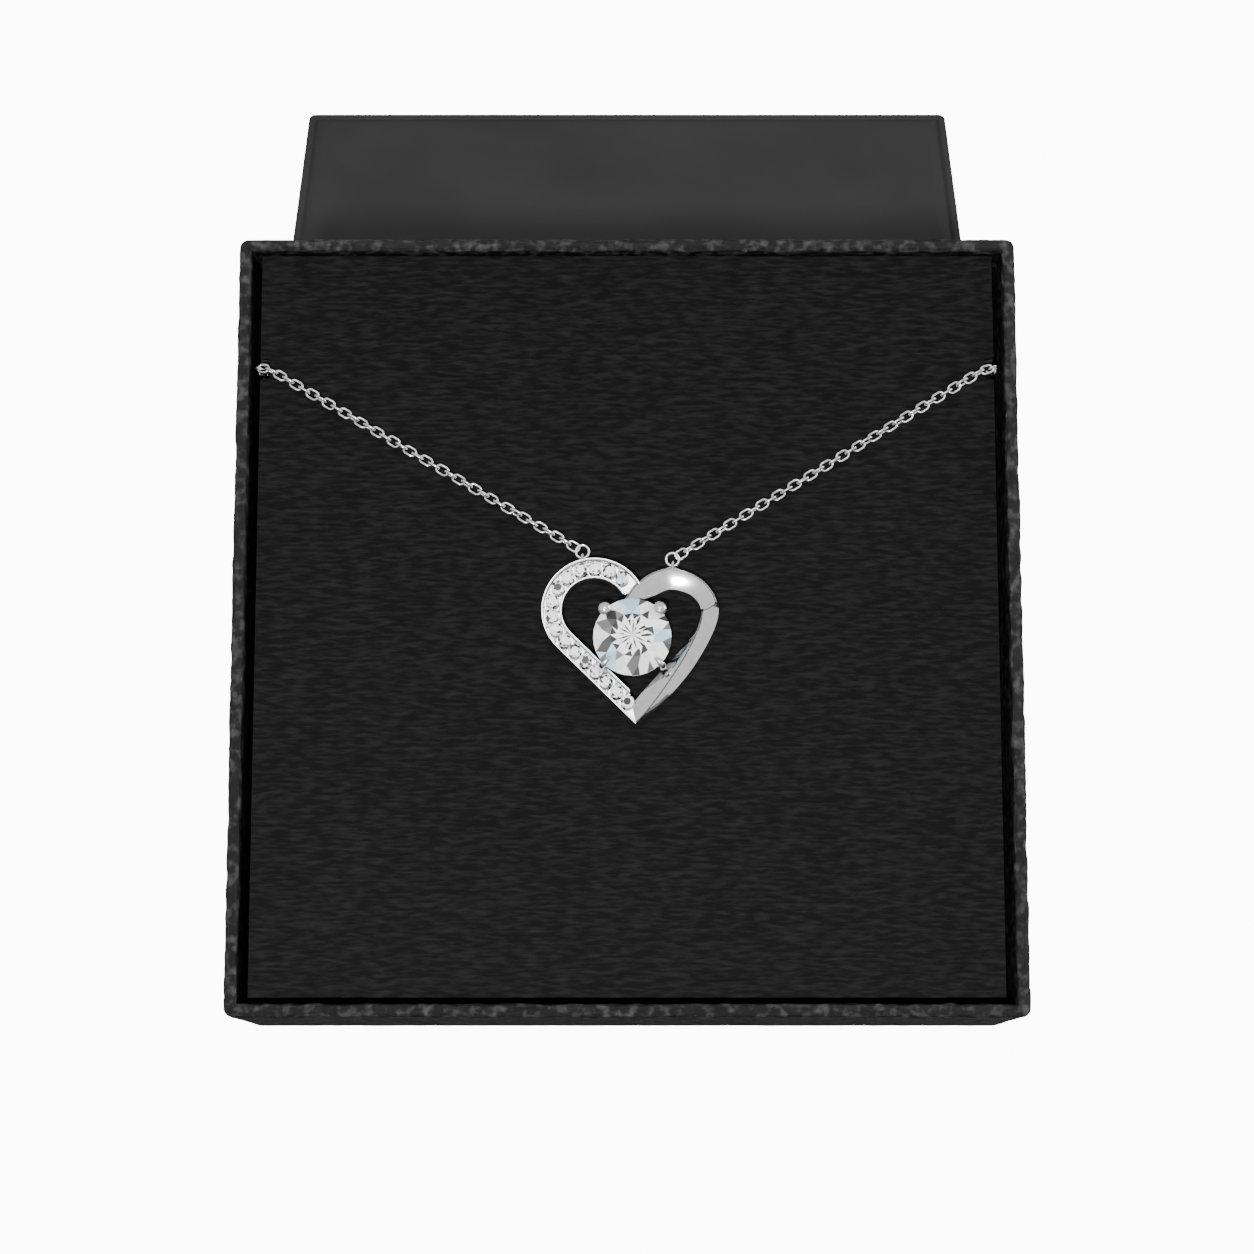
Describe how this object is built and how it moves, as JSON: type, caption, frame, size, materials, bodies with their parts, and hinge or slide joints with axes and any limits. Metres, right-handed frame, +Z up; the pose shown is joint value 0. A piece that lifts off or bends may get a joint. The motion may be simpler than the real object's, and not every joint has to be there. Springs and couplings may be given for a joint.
{
  "type": "necklace gift box",
  "caption": "Two-piece rigid gift box, its tray propped on the lid, with a chain necklace and heart pendant on an insert card.",
  "frame": {"origin": "bottom centre of the object's bounding box, on the surface that the lid and the tray stand on", "axes": "+X to the viewer's right along the tray's width, +Y to the back, from the tray towards the lid, +Z up"},
  "size_m": [0.0934, 0.1552, 0.07],
  "materials": {
    "leatherette": "wrinkled black leatherette, semi-gloss",
    "grey_paper": "smooth dark grey, matte",
    "card": "fine horizontal wrinkle grain, matte",
    "black_paper": "matte",
    "greyboard": "matte",
    "foam": "fine open-cell foam, matte",
    "silver": "polished",
    "steel": "satin",
    "crystal": "clear, cut and polished"
  },
  "bodies": {
    "lid": {"lid_board": "greyboard", "lid_liner": "black_paper", "lid_wrap": "grey_paper"},
    "tray": {"tray_base_paper": "black_paper", "tray_board": "greyboard", "tray_liner": "black_paper", "tray_wrap": "leatherette"},
    "foam": {"foam_pad": "foam"},
    "pendant": {"centre_stone": "crystal", "pave_band": "silver", "pave_stone_01": "crystal", "pave_stone_02": "crystal", "pave_stone_03": "crystal", "pave_stone_04": "crystal", "pave_stone_05": "crystal", "pave_stone_06": "crystal", "pave_stone_07": "crystal", "pave_stone_08": "crystal", "pave_stone_09": "crystal", "pave_stone_10": "crystal", "pave_stone_11": "crystal", "pave_stone_12": "crystal", "pave_stone_13": "crystal", "pave_stone_14": "crystal", "pave_stone_15": "crystal", "pave_stone_16": "crystal", "polished_band": "silver", "stone_basket": "silver"},
    "clasp_lever": {"clasp_lever": "silver"},
    "card": {"chain_left_back": "silver", "chain_left_front": "silver", "chain_left_turn": "silver", "chain_right_back": "silver", "chain_right_front": "silver", "chain_right_turn": "silver", "clasp_body": "silver", "clasp_end_ring": "silver", "clasp_pin": "steel", "clasp_spring": "steel", "clasp_tail_ring": "silver", "insert_card": "card", "jump_ring_left": "silver", "jump_ring_right": "silver"}
  },
  "joints": [
    {"name": "tray_lift_off", "type": "slide", "parent": "lid", "child": "tray", "axis": [0, 0, 1], "range_m": [0, 0.06]},
    {"name": "foam_lift_out", "type": "slide", "parent": "tray", "child": "foam", "axis": [0, -0.5446, 0.8387], "range_m": [0, 0.03]},
    {"name": "card_lift_out", "type": "slide", "parent": "foam", "child": "card", "axis": [0, -0.5446, 0.8387], "range_m": [0, 0.02]},
    {"name": "pendant_swing", "type": "hinge", "parent": "card", "child": "pendant", "pos_m": [-0.0051, -0.03384, 0.04933], "axis": [-0.9962, 0.073, 0.0474], "range_deg": [0, 75]},
    {"name": "clasp_lever_press", "type": "hinge", "parent": "card", "child": "clasp_lever", "pos_m": [-0.0034, -0.05174, 0.03108], "axis": [0, 0.5446, -0.8387], "range_deg": [0, 10], "stiffness_Nm_per_rad": 0.0005}
  ]
}
